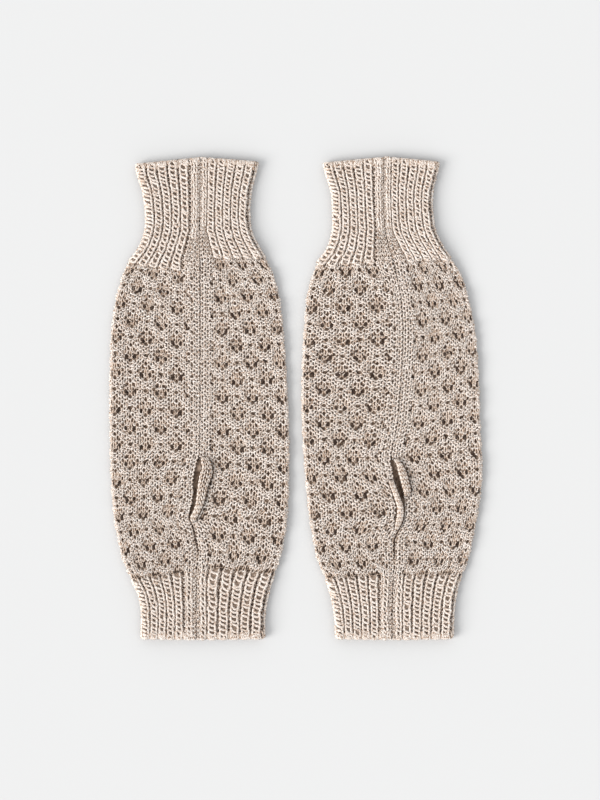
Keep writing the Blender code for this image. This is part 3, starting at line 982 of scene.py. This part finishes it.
def build_warmer(warmer, yarn, shades):
    """A warmer's shells and all the yarn that is laid on each of them."""
    shells, laid_on = {}, {}
    for part, lengths in PIECES.items():
        # Each shell takes the dark inner colour, as painted shade between the loops.
        shells[part] = shell_of(warmer, part, shades[SLOTS[part]])
        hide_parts(f"{warmer.name}_{part}")
        laid_on[part] = [
            add_yarn(f"{warmer.name}_{name}", yarn_lines(warmer, *courses), yarn, warmer)
            for name, courses in lengths.items()
        ]
    first, last = 0, COURSES["hand_cuff"][1]
    for part, name, course, outward in (
        ("arm_cuff", "arm_edge", first + EDGE_INSET, -1),
        ("hand_cuff", "hand_edge", last - EDGE_INSET, 1),
    ):
        lines = edge_lines(warmer, course, outward)
        laid_on[part].append(add_yarn(f"{warmer.name}_{name}", lines, yarn, warmer))
    for i, (top, bottom) in enumerate(SEWN[warmer.name]):
        lines = sewing_lines(warmer, top, bottom)
        sewn = add_yarn(f"{warmer.name}_seam_{i + 1}", lines, yarn, warmer)
        laid_on["lace_body"].append(sewn)
    for i, (node, rows) in enumerate(warmer.rolls.items()):
        core = roll_core(node + "_core", rows, shades["lace_knit"], warmer)
        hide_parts(node)
        lines = roll_lines(rows, ROLL_SEED + i)
        laid_on["lace_body"] += [core, add_yarn(node + "_yarn", lines, yarn, warmer)]


def new_material(name, roughness, sheen):
    """A material, with its tree and its shader."""
    material = bpy.data.materials.new(name)
    material.use_nodes = True
    shader = material.node_tree.nodes["Principled BSDF"]
    shader.inputs["Roughness"].default_value = roughness
    shader.inputs["Sheen Weight"].default_value = sheen
    shader.inputs["Sheen Roughness"].default_value = SHEEN_ROUGHNESS
    shader.inputs["Specular IOR Level"].default_value = SPECULAR
    return material, material.node_tree, shader


def noise(tree, scale, detail):
    """Noise that is fixed to the object itself."""
    where = tree.nodes.new("ShaderNodeTexCoord")
    made = tree.nodes.new("ShaderNodeTexNoise")
    made.inputs["Scale"].default_value = scale
    made.inputs["Detail"].default_value = detail
    tree.links.new(where.outputs["Object"], made.inputs["Vector"])
    return made.outputs["Fac"]


def ramp(tree, value, stops):
    """The colour between the stops, each a place and a colour, where the value lies."""
    made = tree.nodes.new("ShaderNodeValToRGB")
    made.color_ramp.elements[0].position = stops[0][0]
    made.color_ramp.elements[0].color = (*stops[0][1], 1)
    made.color_ramp.elements[1].position = stops[-1][0]
    made.color_ramp.elements[1].color = (*stops[-1][1], 1)
    for position, colour in stops[1:-1]:
        made.color_ramp.elements.new(position).color = (*colour, 1)
    tree.links.new(value, made.inputs["Fac"])
    return made.outputs["Color"]


def math_node(tree, operation, a, b=None):
    """A sum or the like of two values, of which each is a number or comes from another node."""
    made = tree.nodes.new("ShaderNodeMath")
    made.operation = operation
    for socket, value in zip(made.inputs, (a, b)):
        if isinstance(value, (int, float)):
            socket.default_value = value
        elif value is not None:
            tree.links.new(value, socket)
    return made.outputs["Value"]


def mix(tree, blending, first, second, factor=None):
    """Two colours mixed, in full or by a factor."""
    made = tree.nodes.new("ShaderNodeMix")
    made.data_type = "RGBA"
    made.blend_type = blending
    made.inputs["Factor"].default_value = 1
    if factor:
        tree.links.new(factor, made.inputs["Factor"])
    tree.links.new(first, made.inputs[MIX_FIRST])
    tree.links.new(second, made.inputs[MIX_SECOND])
    return made.outputs[MIX_RESULT]


def stored(tree, name):
    """The numbers that the mesh stores by this name."""
    made = tree.nodes.new("ShaderNodeAttribute")
    made.attribute_name = name
    return made.outputs["Fac"]


def bump(tree, height, distance, shader):
    """Fine relief on the shader's surface."""
    made = tree.nodes.new("ShaderNodeBump")
    made.inputs["Strength"].default_value = 1
    made.inputs["Distance"].default_value = distance
    tree.links.new(height, made.inputs["Height"])
    tree.links.new(made.outputs["Normal"], shader.inputs["Normal"])


def marled_wool():
    """Beige wool with brown flecks and painted shade in the cloth's depths, spun from plies that wind round
    each other.
    """
    material, tree, shader = new_material("marled_wool", YARN_ROUGHNESS, YARN_SHEEN)
    plies = math_node(tree, "SINE", math_node(tree, "MULTIPLY", stored(tree, "ply"), 2 * math.pi))
    plies = math_node(tree, "MULTIPLY_ADD", plies, PLY_RIDGE)
    flecks = ramp(tree, noise(tree, *FLECK_GRAIN), FLECKS)
    tone = ramp(tree, noise(tree, *TONE_GRAIN), TONES)
    # Painted shade where the yarn lies deep in the cloth.
    crevice_shade = ramp(tree, stored(tree, "deep"), CREVICE_SHADE)
    shaded = mix(tree, "MULTIPLY", mix(tree, "MULTIPLY", flecks, tone), crevice_shade)
    tree.links.new(shaded, shader.inputs["Base Color"])
    fibres = math_node(tree, "ADD", plies, noise(tree, *FIBRE_GRAIN))
    bump(tree, fibres, PLY_BUMP * MM, shader)
    return material


def shaded_wool(name, tones):
    """The knitting's inner side, painted dark as the shade between the loops, with painted light under the
    lace's puffs.
    """
    material, tree, shader = new_material(name, 1.0, 0)
    cells = noise(tree, *INNER_GRAIN)
    colour = mix(tree, "MIX", ramp(tree, cells, tones), ramp(tree, cells, LIT_INNER), stored(tree, "lit"))
    tree.links.new(colour, shader.inputs["Base Color"])
    bump(tree, cells, INNER_BUMP * MM, shader)
    return material


def pale_table():
    """The floor's plain colour, with a grain that hardly shows."""
    material, tree, shader = new_material("pale_table", FLOOR_ROUGHNESS, 0)
    colours = ([level * FLOOR_SHADE for level in FLOOR_COLOUR], FLOOR_COLOUR)
    grain = ramp(tree, noise(tree, *FLOOR_GRAIN), tuple(zip(FLOOR_STOPS, colours)))
    tree.links.new(grain, shader.inputs["Base Color"])
    return material


def light_studio():
    """The floor, the light from all round and the key light."""
    floor = bpy.data.meshes.new("floor")
    half = FLOOR_SIZE / 2 * MM
    corners = [(-half, -half, 0), (half, -half, 0), (half, half, 0), (-half, half, 0)]
    floor.from_pydata(corners, [], [(0, 1, 2, 3)])
    floor.materials.append(pale_table())
    table = bpy.data.objects.new("floor", floor)
    bpy.context.scene.collection.objects.link(table)

    world = bpy.data.worlds.new("studio")
    world.use_nodes = True
    dome = world.node_tree.nodes["Background"]
    dome.inputs["Color"].default_value = (*DOME_COLOUR, 1)
    dome.inputs["Strength"].default_value = DOME_STRENGTH
    bpy.context.scene.world = world

    key = bpy.data.lights.new("key", "SUN")
    key.energy = KEY_STRENGTH
    key.angle = math.radians(KEY_SPREAD)
    key.color = KEY_COLOUR
    lamp = bpy.data.objects.new("key", key)
    lamp.rotation_euler = [math.radians(angle) for angle in KEY_TURN]
    bpy.context.scene.collection.objects.link(lamp)


def aim_camera():
    """The camera over the pair, and plain colours in its picture."""
    camera = bpy.data.cameras.new("camera")
    camera.lens = CAMERA_LENS
    camera.sensor_width = CAMERA_SENSOR
    camera.clip_end = CAMERA_REACH * MM
    holder = bpy.data.objects.new("camera", camera)
    holder.location = (CAMERA_X * MM, CAMERA_Y * MM, CAMERA_HEIGHT * MM)
    bpy.context.scene.collection.objects.link(holder)
    scene = bpy.context.scene
    scene.camera = holder
    scene.view_settings.view_transform = "Standard"
    scene.view_settings.look = "None"


def main():
    """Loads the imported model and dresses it."""
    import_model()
    aim_camera()
    light_studio()
    yarn = marled_wool()
    shades = {
        "lace_knit": shaded_wool("lace_inner_shade", LACE_INNER_SHADE),
        "rib_knit": shaded_wool("rib_inner_shade", RIB_INNER_SHADE),
    }
    for warmer in WARMERS:
        build_warmer(warmer, yarn, shades)


main()
